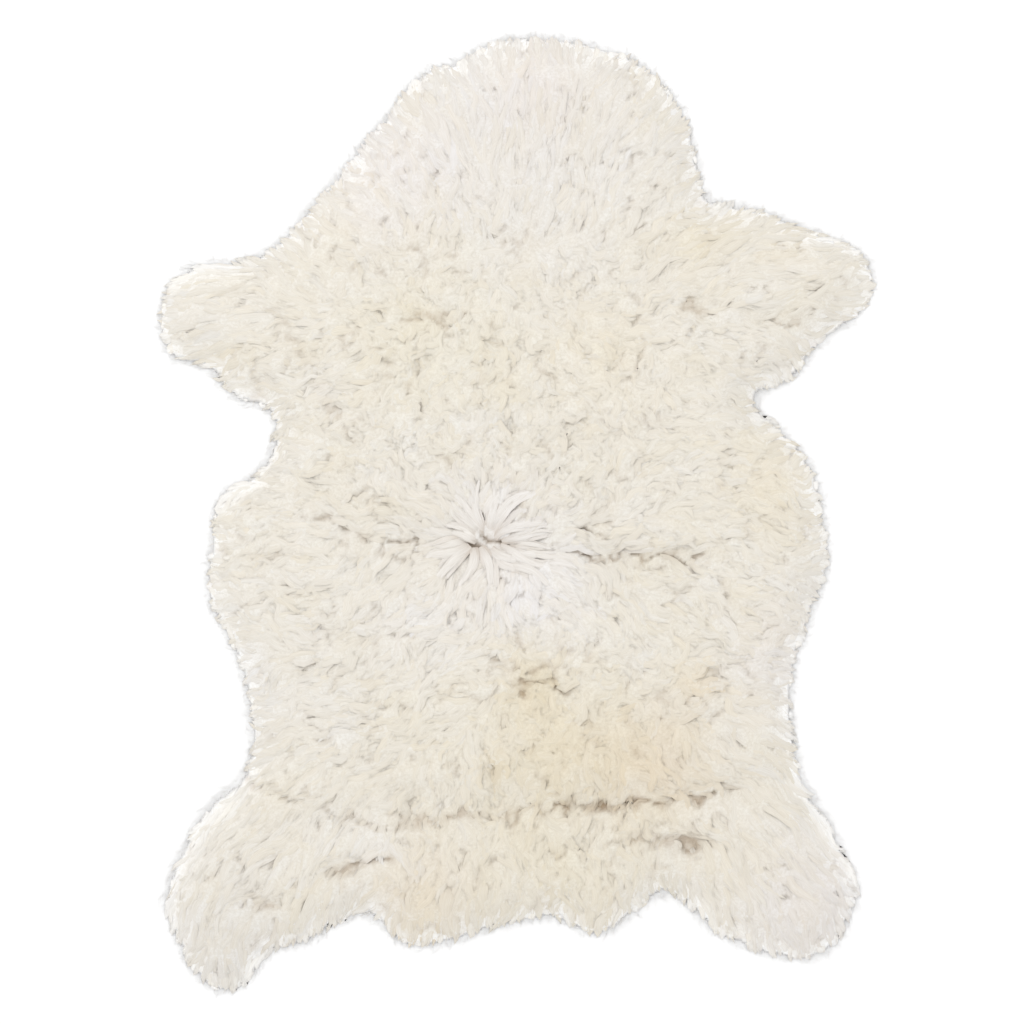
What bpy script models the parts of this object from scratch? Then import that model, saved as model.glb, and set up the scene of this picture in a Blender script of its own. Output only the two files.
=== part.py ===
"""A sheepskin rug: one whole pelt, lying flat on the floor with its wool up.

The pelt is a single piece, so it is a single solid. Its outline is the natural one of a
sheep's hide (neck, four leg flaps, flanks and rump) and it reaches as far as the wool does.
The sole is flat. Above it the wool rolls over at the rim, and its top rises to the depth of
the fleece, with the partings and creases that the fleece lies in.

Units are metres, +Z is up and +Y points to the neck. The origin is the middle of the
pelt's box, on the floor.
"""

import math

import bmesh
import bpy
from mathutils import Vector, geometry, noise

MM = 0.001

# ---------------------------------------------------------------- driving dimensions
PILE = 0.042  # top of the fleece above the floor, over the back
SPREAD = 0.060  # from the rim inwards, the top keeps rising over this width
ROUNDING = 2.4  # how late the top falls away towards the rim: 2 would be an ellipse
EDGE_STEP = 0.014  # between neighbouring points of the outline
TOP_STEP = 0.016  # between neighbouring points of the top
LUMP_HEIGHT = 0.0035  # how far the fleece swells and sinks between its creases
LUMP_SIZE = 0.085  # from one swelling to the next
WAVER = 0.0022  # how far tufts push the outline in and out
WAVER_SIZE = 0.030  # from one such tuft to the next
SMOOTH_UP_TO = 50  # degrees between two faces that still shade as one
SAME_POINT = 1e-7  # points closer than this are one point

# How the rim is built up from the floor: how far each ring lies inside the outline, and
# its height. A ring with no height lies on the top's own surface.
RIM_RINGS = (
    # inset, height
    (0.006, 0.000),  # edge of the flat sole
    (0.000, 0.007),  # widest line, just above the floor
    (0.002, 0.016),
    (0.005, None),
    (0.011, None),
)

# Turning points of the outline in millimetres, clockwise seen from above.
OUTLINE = {
    "neck": (
        (-206, 318), (-164, 368), (-130, 408), (-98, 448), (-62, 459), (-30, 478),
        (35, 484), (86, 473), (140, 447), (174, 395), (185, 350), (191, 321),
    ),
    "right foreleg": (
        (228, 314), (300, 288), (345, 268), (362, 234), (348, 205), (306, 172),
        (282, 140), (240, 112), (262, 92),
    ),
    "right flank": (
        (298, 50), (309, 4), (315, -58), (300, -92), (294, -116), (282, -150),
        (279, -212), (292, -270), (318, -312),
    ),
    "right hind leg": (
        (330, -342), (345, -370), (336, -408), (309, -446), (256, -445), (206, -427),
        (172, -396), (150, -381),
    ),
    "rump": (
        (126, -398), (80, -425), (34, -408), (-22, -418), (-90, -437), (-120, -433),
        (-154, -404), (-190, -418),
    ),
    "left hind leg": (
        (-221, -436), (-246, -440), (-270, -471), (-300, -483), (-328, -462),
        (-345, -428), (-357, -390), (-337, -333), (-310, -290),
    ),
    "left flank": (
        (-277, -260), (-272, -200), (-289, -134), (-313, -84), (-309, -20),
        (-302, 22), (-262, 46), (-246, 80), (-252, 105),
    ),
    "left foreleg": (
        (-284, 115), (-318, 151), (-351, 158), (-363, 196), (-350, 238), (-322, 255),
        (-275, 258), (-232, 286),
    ),
}

# Where the fleece parts or sinks: each runs from one point to another, in millimetres.
FOLDS = (
    # name,                 from,         to,           width, depth
    ("crease over rump",    (-100, -288), (105, -293),  17,    11),
    ("crease to right leg", (105, -293),  (262, -266),  16,    12),
    ("hollow right leg",    (140, -331),  (186, -333),  15,    11),
    ("crease left leg",     (-230, -312), (-152, -300), 14,    6),
    ("hollow left leg",     (-262, -386), (-240, -388), 13,    8),
    ("hollow by rump",      (-186, -360), (-158, -346), 12,    8),
    ("loin parting",        (-138, -24),  (190, -48),   15,    8),
    ("loin whorl",          (-42, -18),   (30, -32),    20,    9),
    ("rump whorl",          (18, -172),   (48, -186),   16,    8),
    ("left shoulder",       (-268, 226),  (-136, 58),   15,    6),
    ("right shoulder",      (128, 208),   (196, 204),   14,    7),
    ("right foreleg",       (232, 188),   (278, 196),   13,    7),
    ("nape",                (-122, 264),  (-88, 248),   18,    6),
)


# ---------------------------------------------------------------- outline
def smooth_outline():
    """The outline as a closed run of points, much closer than they are needed."""
    turns = [Vector((x, y, 0)) * MM for part in OUTLINE.values() for x, y in part]
    curve = bpy.data.curves.new("outline", "CURVE")
    curve.dimensions = "3D"
    curve.resolution_u = 12
    spline = curve.splines.new("BEZIER")
    spline.use_cyclic_u = True
    spline.bezier_points.add(len(turns) - 1)
    for point, turn in zip(spline.bezier_points, turns):
        point.co = turn
        point.handle_left_type = point.handle_right_type = "AUTO"
    guide = bpy.data.objects.new("outline", curve)
    bpy.context.scene.collection.objects.link(guide)
    bpy.context.view_layer.update()
    mesh = guide.to_mesh()
    points = [v.co.to_2d() for v in mesh.vertices]
    guide.to_mesh_clear()
    bpy.data.objects.remove(guide)
    return points


def evenly_spaced(points, step):
    """The closed run again, with its points a step apart."""
    ends = points[1:] + points[:1]
    lengths = [(b - a).length for a, b in zip(points, ends)]
    count = round(sum(lengths) / step)
    gap = sum(lengths) / count
    spaced, travelled, due = [], 0.0, 0.0
    for a, b, length in zip(points, ends, lengths):
        while due < travelled + length and len(spaced) < count:
            spaced.append(a.lerp(b, (due - travelled) / length))
            due += gap
        travelled += length
    return spaced


def moved_inwards(points, distance):
    """Each point of a clockwise run, moved square to the run towards its inside."""
    moved = []
    for before, here, after in zip(points[-1:] + points[:-1], points, points[1:] + points[:1]):
        along = (after - before).normalized()
        moved.append(here + Vector((along.y, -along.x)) * distance)
    return moved


def with_tufts(points):
    """The run with its tufts: small waves in and out, from smooth noise."""
    inner = moved_inwards(points, WAVER)
    return [p.lerp(q, noise.noise(p.to_3d() / WAVER_SIZE)) for p, q in zip(points, inner)]


def centred(points):
    """The run with the middle of its box at the origin."""
    xs = [p.x for p in points]
    ys = [p.y for p in points]
    middle = Vector(((min(xs) + max(xs)) / 2, (min(ys) + max(ys)) / 2))
    return [p - middle for p in points]


# ---------------------------------------------------------------- height of the fleece
def distance_to_stretch(p, a, b):
    """How far p is from the straight stretch between a and b."""
    near, share = geometry.intersect_point_line(p, a, b)
    if share <= 0:
        return (p - a).length
    if share >= 1:
        return (p - b).length
    return (p - near.to_2d()).length


def distance_to_edge(p, edge):
    return min(distance_to_stretch(p, a, b) for a, b in zip(edge, edge[1:] + edge[:1]))


def fleece_height(p, inset):
    """Height of the top at p, which lies this far inside the outline."""
    lumps = LUMP_HEIGHT * noise.noise(p.to_3d() / LUMP_SIZE)
    sunk = 0.0
    for _, start, end, width, depth in FOLDS:
        off = distance_to_stretch(p, Vector(start) * MM, Vector(end) * MM)
        sunk = max(sunk, depth * MM * math.exp(-((off / (width * MM)) ** 2)))
    still_to_rise = 1 - min(inset / SPREAD, 1)
    return (PILE + lumps - sunk) * math.sqrt(1 - still_to_rise**ROUNDING)


# ---------------------------------------------------------------- solid
def inside_grid(edge, margin):
    """Points in staggered rows inside the edge, at least a margin away from it."""
    reach_x = max(abs(p.x) for p in edge)
    reach_y = max(abs(p.y) for p in edge)
    row_gap = TOP_STEP * math.sqrt(3) / 2
    rows = int(reach_y / row_gap)
    columns = int(reach_x / TOP_STEP)
    found = []
    for row in range(-rows, rows + 1):
        for column in range(-columns, columns + 1):
            p = Vector(((column + 0.5 * (row % 2)) * TOP_STEP, row * row_gap))
            if inside(p, edge) and distance_to_edge(p, edge) > margin:
                found.append(p)
    return found


def inside(p, edge):
    """True if a line from p along +X crosses the edge an odd number of times."""
    crossings = 0
    for a, b in zip(edge, edge[1:] + edge[:1]):
        if (a.y > p.y) != (b.y > p.y):
            crossings += p.x < a.x + (p.y - a.y) * (b.x - a.x) / (b.y - a.y)
    return crossings % 2 == 1


def filled(edge, extra):
    """Triangles over the inside of the edge, as indices into the edge and then extra."""
    loops = [(i, (i + 1) % len(edge)) for i in range(len(edge))]
    keep_inside = 1
    result = geometry.delaunay_2d_cdt(edge + extra, loops, [], keep_inside, SAME_POINT)
    faces, origins = result[2], result[3]
    return [tuple(origins[v][0] for v in face) for face in faces]


def build_pelt():
    edge = centred(with_tufts(evenly_spaced(smooth_outline(), EDGE_STEP)))
    mesh = bmesh.new()

    rings = []
    for inset, height in RIM_RINGS:
        run = moved_inwards(edge, inset)
        heights = [fleece_height(p, inset) if height is None else height for p in run]
        rings.append([mesh.verts.new((p.x, p.y, z)) for p, z in zip(run, heights)])
    for low, high in zip(rings, rings[1:]):
        for i in range(len(edge)):
            j = (i + 1) % len(edge)
            mesh.faces.new((low[i], high[i], high[j], low[j]))

    sole = [v.co.to_2d() for v in rings[0]]
    for face in filled(sole, []):
        mesh.faces.new([rings[0][i] for i in face])

    shoulder = [v.co.to_2d() for v in rings[-1]]
    middle = inside_grid(shoulder, TOP_STEP / 2)
    top = list(rings[-1])
    for p in middle:
        height = fleece_height(p, distance_to_edge(p, edge))
        top.append(mesh.verts.new((p.x, p.y, height)))
    for face in filled(shoulder, middle):
        mesh.faces.new([top[i] for i in face])

    bmesh.ops.recalc_face_normals(mesh, faces=mesh.faces)
    bmesh.ops.triangulate(mesh, faces=mesh.faces)
    data = bpy.data.meshes.new("sheepskin")
    mesh.to_mesh(data)
    mesh.free()
    data.shade_smooth()
    data.set_sharp_from_angle(angle=math.radians(SMOOTH_UP_TO))
    return bpy.data.objects.new("sheepskin", data)


# ---------------------------------------------------------------- material
def wool():
    """Undyed wool: warm ivory and quite matt."""
    material = bpy.data.materials.new("wool")
    material.use_nodes = True
    shader = material.node_tree.nodes["Principled BSDF"]
    shader.inputs["Base Color"].default_value = (0.82, 0.77, 0.67, 1)
    shader.inputs["Roughness"].default_value = 0.9
    shader.inputs["Metallic"].default_value = 0.0
    return material


def main():
    for obj in list(bpy.data.objects):
        bpy.data.objects.remove(obj)
    pelt = build_pelt()
    pelt.data.materials.append(wool())
    bpy.context.scene.collection.objects.link(pelt)


main()
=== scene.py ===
"""Looks of the sheepskin rug: the hide, the fleece that grows on it, the studio and the camera.

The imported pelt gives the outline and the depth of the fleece. On a fine grid over it this
script works out which way the wool is combed, and how high the fleece stands: its top is
lumpy, grooved along the comb, and sunk at its creases. The underwool is that surface. Flat
locks lie on it along the comb, fine wisps lie on the locks, and fat locks arch out of the
whorl on the back. A fringe of single fibres softens the edge.

Everything is in metres. The tables hold millimetres and degrees, and the functions that
read them turn these into metres and radians. A heading of 0 points to +X, 90 to +Y.
"""

import math

import bmesh
import bpy
import numpy as np
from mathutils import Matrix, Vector, kdtree
from mathutils.bvhtree import BVHTree


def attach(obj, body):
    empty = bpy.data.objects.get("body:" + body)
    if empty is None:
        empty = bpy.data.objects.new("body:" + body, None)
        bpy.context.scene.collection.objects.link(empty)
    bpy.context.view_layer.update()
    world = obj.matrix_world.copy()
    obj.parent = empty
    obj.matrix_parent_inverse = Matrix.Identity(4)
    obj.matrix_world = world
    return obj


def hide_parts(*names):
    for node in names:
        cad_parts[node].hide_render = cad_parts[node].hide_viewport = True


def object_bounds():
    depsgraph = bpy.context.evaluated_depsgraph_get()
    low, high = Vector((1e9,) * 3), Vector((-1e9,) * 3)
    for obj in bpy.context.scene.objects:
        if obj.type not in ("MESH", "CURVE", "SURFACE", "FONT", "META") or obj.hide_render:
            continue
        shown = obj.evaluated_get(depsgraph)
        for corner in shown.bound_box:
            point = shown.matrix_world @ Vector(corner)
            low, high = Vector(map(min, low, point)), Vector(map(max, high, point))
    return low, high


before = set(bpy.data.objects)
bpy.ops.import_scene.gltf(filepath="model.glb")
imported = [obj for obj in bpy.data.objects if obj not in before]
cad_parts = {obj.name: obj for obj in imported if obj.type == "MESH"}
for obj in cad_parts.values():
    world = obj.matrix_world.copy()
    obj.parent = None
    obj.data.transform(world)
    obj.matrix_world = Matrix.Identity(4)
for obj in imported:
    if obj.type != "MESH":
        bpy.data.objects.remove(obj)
cad_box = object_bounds()

MM = 0.001
NODE = "sheepskin"
BODY = "root"
SEED = 20

# ---------------------------------------------------------------- tables
# How each kind of wool grows, in millimetres and degrees. gap: from one strand to the next.
# waves: along a strand. sway: how far its heading swings with them. hook: how far the tip
# turns round. scatter: how its heading differs from the comb. root: how deep it starts.
# rise: of its middle over the fleece under it. dip: how far its tip sinks again.
COLUMNS = ("gap", "length", "width", "thick", "waves", "sway", "hook", "scatter",
           "root", "rise", "dip")
LOCKS = {
    # kind:   gap, length, width, thick, waves, sway, hook, scatter, root, rise, dip
    "long":   (9.6, 46,    8.5,   1.3,   0.8,   10,   15,   8,       0.9,  -0.3, 0.4),
    "wavy":   (9.4, 38,    8.5,   1.7,   1.1,   20,   35,   14,      1.4,  -0.3, 0.6),
    "curly":  (8.8, 27,    8.0,   2.2,   1.0,   25,   80,   25,      1.6,  -0.3, 0.6),
    "staple": (9.6, 44,    10.0,  2.8,   0.8,   16,   30,   11,      2.0,  0.1,  1.0),
}
WISPS = {
    "long":   (7.0, 28,    0.55,  0.25,  1.0,   12,   20,   9,       0.4,  0.05, 0.2),
    "wavy":   (6.9, 24,    0.55,  0.25,  1.4,   22,   40,   14,      0.4,  0.05, 0.2),
    "curly":  (6.6, 18,    0.55,  0.3,   1.2,   30,   80,   28,      0.4,  0.05, 0.2),
    "staple": (6.6, 28,    0.6,   0.35,  1.0,   12,   20,   8,       0.4,  0.05, 0.2),
}
# layer: (table, rings, sides, spread of lift in mm, spread of tone)
LAYERS = {
    "locks": (LOCKS, 7, 4, 0.2, 0.012),
    "wisps": (WISPS, 7, 3, 0.05, 0.016),
}
# How far the comb swirls about in each kind of wool, in degrees, coarsely and finely, and
# how much of the relief its surface has.
GROUND = {
    "long": (8, 8, 0.55),
    "wavy": (14, 16, 0.95),
    "curly": (25, 55, 1.1),
    "staple": (8, 8, 0.9),
}

# Which way the wool lies, and what kind it is, by place.
COMB = {
    # region: (x, y, heading, kind)
    "neck": (
        (24, 450, 88, "long"), (-60, 425, 104, "long"), (110, 420, 62, "long"),
        (-110, 370, 128, "long"), (160, 350, 40, "long"), (-16, 350, 92, "long"),
        (-170, 300, 145, "long"), (60, 320, 80, "long"), (-60, 290, 110, "wavy"),
        (140, 285, 50, "wavy"),
    ),
    "left_foreleg": (
        (-330, 210, 182, "long"), (-280, 200, 178, "long"), (-230, 240, 160, "long"),
        (-240, 150, 200, "wavy"),
    ),
    "right_foreleg": (
        (330, 240, 8, "long"), (270, 240, 4, "long"), (215, 270, 30, "long"),
        (230, 150, -25, "wavy"),
    ),
    "shoulders": (
        (-130, 230, 150, "curly"), (-40, 220, 250, "curly"), (60, 220, 290, "curly"),
        (140, 200, 10, "wavy"), (-180, 130, 205, "wavy"), (-90, 130, 230, "curly"),
        (20, 130, 265, "curly"), (110, 120, 310, "curly"), (190, 90, -10, "wavy"),
    ),
    "loin": (
        (-140, 50, 170, "curly"), (-40, 60, 100, "curly"), (60, 60, 75, "curly"),
        (150, 40, 20, "wavy"), (-26, 0, 95, "staple"), (-80, -20, 178, "staple"),
        (40, -40, 5, "staple"), (-30, -70, 265, "staple"), (90, -90, 300, "wavy"),
        (-120, -90, 235, "wavy"), (150, -40, -2, "wavy"),
    ),
    "left_flank": (
        (-270, 0, 178, "wavy"), (-200, 20, 175, "wavy"), (-270, -90, 188, "wavy"),
        (-210, -180, 200, "wavy"), (-250, -220, 200, "long"),
    ),
    "right_flank": (
        (280, 0, 2, "wavy"), (220, 20, 0, "wavy"), (280, -80, -8, "wavy"),
        (220, -160, -15, "wavy"), (260, -220, -20, "long"),
    ),
    "rump": (
        (34, -140, 80, "curly"), (-60, -170, 200, "wavy"), (110, -180, 340, "curly"),
        (30, -230, 268, "curly"), (-130, -230, 215, "wavy"), (150, -240, 300, "wavy"),
        (-60, -270, 262, "wavy"), (70, -270, 275, "wavy"), (-90, -340, 262, "wavy"),
        (0, -340, 270, "wavy"), (90, -340, 278, "wavy"), (-80, -410, 265, "long"),
        (70, -410, 272, "long"),
    ),
    "left_hind_leg": (
        (-240, -300, 225, "long"), (-300, -360, 232, "long"), (-320, -440, 252, "long"),
        (-200, -390, 258, "long"), (-190, -320, 240, "long"),
    ),
    "right_hind_leg": (
        (240, -300, 310, "long"), (300, -360, 308, "long"), (310, -430, 290, "long"),
        (220, -400, 282, "long"), (180, -340, 288, "long"),
    ),
}

# Partings, from one point to another. The wool turns away from both sides of each, within
# its reach, and is sunk along it and darkened there with painted shade.
PARTINGS = (
    # name,                from,         to,           width, depth, reach, pull
    ("whorl far left",     (-67, -13),   (-46, -28),   2.5,   7,     20,    0.0),
    ("whorl left",         (-50, -33),   (-38, -34),   4,     6,     50,    3.0),
    ("whorl up",           (-34, -6),    (-29, -22),   2.5,   6,     20,    0.0),
    ("whorl middle",       (-29, -22),   (-9, -28),    3,     8,     50,    3.0),
    ("whorl right",        (-9, -28),    (12, -34),    2.5,   8,     50,    2.5),
    ("whorl right end",    (12, -35),    (36, -35),    2,     7,     20,    0.0),
    ("whorl pit",          (2, -21),     (8, -20),     2.5,   7,     20,    0.0),
    ("whorl slit",         (-18, -4),    (-6, 5),      2,     6,     20,    0.0),
    ("whorl below",        (-14, -60),   (-8, -67),    2.5,   5,     16,    0.0),
    ("right of whorl",     (54, -36),    (86, -45),    2.5,   6,     16,    1.0),
    ("above right",        (64, -14),    (84, -20),    2.5,   4,     16,    0.8),
    ("far right",          (100, -38),   (190, -46),   2.5,   4,     14,    0.8),
    ("left of whorl",      (-120, -24),  (-84, -34),   2.5,   4,     14,    0.8),
    ("far left",           (-196, 0),    (-104, -46),  2.5,   3,     12,    0.5),
    ("rump whorl",         (6, -166),    (52, -176),   3.5,   5,     40,    2.0),
    ("over rump whorl",    (-22, -146),  (50, -152),   2.5,   3,     12,    0.6),
    ("crease right",       (44, -294),   (134, -289),  4,     6.5,   16,    0.8),
    ("crease far right",   (134, -289),  (222, -274),  3.5,   5,     16,    0.8),
    ("under crease",       (110, -326),  (150, -331),  4,     3.5,   16,    0.6),
    ("crease middle",      (-120, -306), (40, -299),   4,     3.5,   14,    0.5),
    ("left under crease",  (-172, -350), (-126, -345), 4,     4,     14,    0.5),
    ("crease left",        (-276, -264), (-140, -316), 3,     3,     14,    0.5),
    ("hollow right leg",   (156, -330),  (192, -326),  5,     5,     20,    1.0),
    ("hollow left leg",    (-184, -352), (-156, -358), 4,     4,     16,    0.8),
    ("hollow left hind",   (-264, -386), (-240, -390), 4,     3,     16,    0.8),
    ("left shoulder",      (-246, 210),  (-160, 74),   3,     2,     14,    0.5),
    ("right shoulder",     (168, 206),   (202, 200),   3.5,   3,     14,    0.6),
    ("right foreleg",      (254, 196),   (282, 190),   3,     4,     14,    0.6),
    ("neck spot",          (-110, 264),  (-98, 262),   2.5,   4,     30,    1.2),
    ("band crease",        (-110, 192),  (-56, 196),   2.5,   3,     10,    0.5),
)

# The fat locks of the whorl on the back, from their roots, and how far each turns round.
WHORL_LOCKS = (
    # x,   y,    heading, turn, length, width
    (-40,  -27,  152,     14,   36,     13),
    (-33,  -22,  150,     -44,  46,     10),
    (-32,  -20,  132,     -38,  50,     10),
    (-30,  -19,  112,     -30,  52,     10),
    (-28,  -19,  92,      -24,  50,     9),
    (-26,  -18,  74,      -20,  46,     9),
    (-24,  -17,  58,      -24,  46,     8),
    (-25,  -22,  64,      -92,  80,     13),
    (-22,  -24,  44,      -64,  74,     12),
    (-14,  -27,  32,      -52,  66,     10),
    (-6,   -29,  20,      -38,  56,     8),
    (-4,   -31,  4,       -12,  56,     8),
    (4,    -34,  -8,      12,   50,     8),
    (-8,   -33,  -14,     16,   56,     11),
    (-16,  -33,  -26,     24,   56,     12),
    (-26,  -34,  -40,     30,   50,     12),
    (-12,  -50,  -22,     -16,  50,     12),
    (-36,  -34,  -62,     -24,  50,     13),
    (-42,  -34,  262,     -20,  50,     13),
    (-46,  -33,  232,     -20,  50,     13),
    (-48,  -31,  206,     -14,  48,     14),
    (-50,  -27,  182,     12,   46,     12),
)
BUNDLE = 4  # strands in each
WHORL_ROOM = (-12, -28, 46, 24)  # middle and half sizes of the room they take up

# Colour of most of the wool, and how much it is multiplied at places that differ.
WOOL = (0.775, 0.738, 0.663)
RIM_WOOL_AND_PAINTED_LIGHT = (0.965, 0.965, 0.96)  # of the thin wool at the very edge: its paler, cooler colour, and painted light that lifts the shade on the rim
TINTS = (
    # name,              x,    y,    reach, red,  green, blue
    ("neck",             10,   370,  130,   0.985, 0.998, 1.055),
    ("neck blush",       20,   416,  48,    1.01, 0.99,  0.99),
    ("neck left",        -120, 330,  70,    1.02, 1.02,  1.07),
    ("yellow band",      -80,  190,  80,    1.00, 0.99,  0.94),
    ("yellow right",     80,   160,  60,    1.01, 0.99,  0.94),
    ("right foreleg",    180,  266,  28,    0.98, 0.95,  0.87),
    ("right leg root",   256,  264,  26,    0.99, 0.97,  0.93),
    ("flank yellow",     246,  32,   40,    1.00, 0.97,  0.90),
    ("whorl",            -26,  -26,  60,    1.03, 1.04,  1.10),
    ("white below",      20,   -92,  60,    1.03, 1.045, 1.11),
    ("white left",       -90,  -115, 48,    1.02, 1.03,  1.07),
    ("rump cream",       30,   -190, 90,    1.00, 0.99,  0.95),
    ("rump whorl",       12,   -174, 30,    0.98, 0.95,  0.88),
    ("right of rump",    176,  -168, 16,    0.98, 0.93,  0.85),
    ("below rump whorl", -22,  -246, 13,    0.96, 0.91,  0.82),
    ("tan right",        134,  -242, 52,    0.96, 0.90,  0.82),
    ("tan middle",       40,   -232, 50,    0.98, 0.95,  0.89),
    ("tan under",        40,   -320, 110,   0.97, 0.95,  0.89),
    ("tan left",         -95,  -370, 52,    0.96, 0.92,  0.86),
    ("left flank low",   -256, -170, 55,    1.00, 1.01,  1.05),
    ("right flank low",  252,  -140, 55,    1.01, 1.01,  1.05),
    ("left hind leg",    -300, -420, 80,    0.96, 0.97,  1.01),
    ("right hind leg",   300,  -390, 75,    0.98, 0.98,  1.04),
)
UP_LEAN = 0.9  # how far a strand faces up, more than its shape does
SIDE_LEAN = 0.7  # how far a strand's sides face sideways
UNDERSIDE_PAINTED_SHADE = (0.97, 0.95, 0.92)  # painted shade: what the colour is multiplied by along a strand's underside, and partly on its sides
PAINTED_CREASE_SHADE = (0.52, 0.40, 0.29)  # painted shade: what the colour is multiplied by in the depth of a crease


# ---------------------------------------------------------------- reading the imported pelt
COARSE = 5 * MM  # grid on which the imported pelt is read
FINE = 3.2 * MM  # grid of the underwool and the comb
MARGIN = 30 * MM  # of both grids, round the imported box
RIM_TO_SOLE = 6 * MM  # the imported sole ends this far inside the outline
OUTER_DEPTH = 16 * MM  # of the fleece at its outline
OUTER_FALL = 7 * MM  # beyond the outline the depth falls to a third over this


def welded(node):
    """The node's mesh as a bmesh whose faces share their corners."""
    mesh = bmesh.new()
    mesh.from_mesh(node.data)
    bmesh.ops.remove_doubles(mesh, verts=mesh.verts, dist=0.01 * MM)
    return mesh


def sole_edge(mesh):
    """The closed run of points round the flat sole."""
    neighbours = {}
    for edge in mesh.edges:
        a, b = edge.verts
        rises = sorted(max(v.co.z for v in face.verts) > MM for face in edge.link_faces)
        if max(a.co.z, b.co.z) < 0.1 * MM and rises == [False, True]:
            neighbours.setdefault(a, []).append(b)
            neighbours.setdefault(b, []).append(a)
    start = min(neighbours, key=lambda v: v.index)
    run, here = [start], neighbours[start][0]
    while here is not start:
        run.append(here)
        here = [v for v in neighbours[here] if v is not run[-2]][0]
    return [v.co.to_2d() for v in run]


def finely(run, step):
    """Points along a closed run, about a step apart."""
    points = []
    for a, b in zip(run, run[1:] + run[:1]):
        parts = max(1, round((b - a).length / step))
        points += [a.lerp(b, i / parts) for i in range(parts)]
    return points


class Grid:
    """Even points over the pelt and a margin, on which fields of values are kept."""

    def __init__(self, step):
        low, high = cad_box
        self.step = step
        self.corner = np.array([low.x - MARGIN, low.y - MARGIN])
        size = np.array([high.x - low.x, high.y - low.y]) + 2 * MARGIN
        self.shape = tuple(np.ceil(size / step).astype(int) + 1)
        i, j = np.meshgrid(*[np.arange(n) for n in self.shape], indexing="ij")
        self.xy = self.corner + step * np.stack([i, j], 2)

    def read(self, field, xy):
        """Values of a field at points, by straight interpolation."""
        place = (xy - self.corner) / self.step
        place = np.clip(place, 0, np.array(self.shape) - 1.001)
        cell = place.astype(int)
        u, v = np.moveaxis(place - cell, -1, 0)
        i, j = np.moveaxis(cell, -1, 0)
        near = field[i, j] * (1 - u) + field[i + 1, j] * u
        far = field[i, j + 1] * (1 - u) + field[i + 1, j + 1] * u
        return near * (1 - v) + far * v

    def noise(self, size, rng):
        """Smooth noise with swellings of that size, with a spread of 1 about 0."""
        white = rng.normal(size=self.shape)
        waves = [np.fft.fftfreq(n, self.step) for n in self.shape]
        square = waves[0][:, None] ** 2 + waves[1][None] ** 2
        soft = np.fft.ifft2(np.fft.fft2(white) * np.exp(-square * (size * 1.5) ** 2)).real
        return soft / soft.std()


def packed_fields(mesh, edge):
    """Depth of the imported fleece, and distance inside its outline, on the fine grid."""
    coarse = Grid(COARSE)
    tree = BVHTree.FromBMesh(mesh)
    ring = finely(edge, MM)
    near = kdtree.KDTree(len(ring))
    for i, point in enumerate(ring):
        near.insert(point.to_3d(), i)
    near.balance()
    depth, inset = np.zeros(coarse.shape), np.zeros(coarse.shape)
    for place in np.ndindex(coarse.shape):
        x, y = coarse.xy[place]
        top = tree.ray_cast(Vector((x, y, 1)), Vector((0, 0, -1)))[0]
        below = tree.ray_cast(Vector((x, y, -1)), Vector((0, 0, 1)))[0]
        gap = near.find(Vector((x, y, 0)))[2]
        on_sole = below is not None and below.z < 0.1 * MM
        inset[place] = RIM_TO_SOLE + (gap if on_sole else -gap)
        beyond = OUTER_DEPTH * math.exp(min(inset[place], 0) / OUTER_FALL)
        depth[place] = beyond if top is None else top.z
    fine = Grid(FINE)
    return fine, coarse.read(depth, fine.xy), coarse.read(inset, fine.xy)


# ---------------------------------------------------------------- comb
REGIONS = list(COMB)
KIND_NAMES = list(LOCKS)
ROWS = [(REGIONS.index(region), *row) for region, rows in COMB.items() for row in rows]
ROW_REGION = np.array([row[0] for row in ROWS])
ROW_PLACE = np.array([row[1:3] for row in ROWS]) * MM
ROW_HEADING = np.radians([row[3] for row in ROWS])
ROW_KIND = np.array([KIND_NAMES.index(row[4]) for row in ROWS])


def from_rows(xy):
    """How far each point is from the place of each row of the comb table."""
    off = xy[..., None, :] - ROW_PLACE
    return np.hypot(off[..., 0], off[..., 1])


COMB_REACH = 0.07  # distance over which rows of the comb table give way to each other
COMB_BLEND = 0.02  # the larger, the less the nearest row has its own way
BROAD_SWIRL = 0.026  # size of the coarse swirls
NARROW_SWIRL = 0.009  # size of the fine ones


def comb_field(grid, rng):
    """Heading of the wool on the grid, as its two parts, and the strength of its relief."""
    weight = 1 / ((from_rows(grid.xy) / COMB_REACH) ** 4 + COMB_BLEND)
    weight /= weight.sum(-1, keepdims=True)
    x = (weight * np.cos(ROW_HEADING)).sum(-1)
    y = (weight * np.sin(ROW_HEADING)).sum(-1)
    for _, start, end, _, _, reach, pull in PARTINGS:
        away = grid.xy - nearest_on(grid.xy, start, end)
        distance = np.hypot(away[..., 0], away[..., 1]) + 1e-6
        share = pull * np.exp(-((distance / (reach * MM)) ** 2)) / distance
        x = x + share * away[..., 0]
        y = y + share * away[..., 1]
    ground = np.array([GROUND[name] for name in KIND_NAMES])[ROW_KIND]
    coarse, fine, relief = (weight[..., None] * ground).sum(-2).transpose(2, 0, 1)
    stray = coarse * grid.noise(BROAD_SWIRL, rng) + fine * grid.noise(NARROW_SWIRL, rng)
    angle = np.arctan2(y, x) + np.radians(stray)
    return (np.cos(angle), np.sin(angle)), relief


def combed_noise(grid, comb, width, length, rng):
    """Noise drawn out along the comb, with a spread of 1 about 0."""
    spots = grid.noise(width, rng)
    total = spots.copy()
    steps = round(length / 2 / grid.step)
    for way in (-1, 1):
        xy = grid.xy.copy()
        for _ in range(steps):
            xy[..., 0] += way * grid.step * grid.read(comb[0], xy)
            xy[..., 1] += way * grid.step * grid.read(comb[1], xy)
            total += grid.read(spots, xy)
    total -= total.mean()
    return total / total.std()


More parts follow.
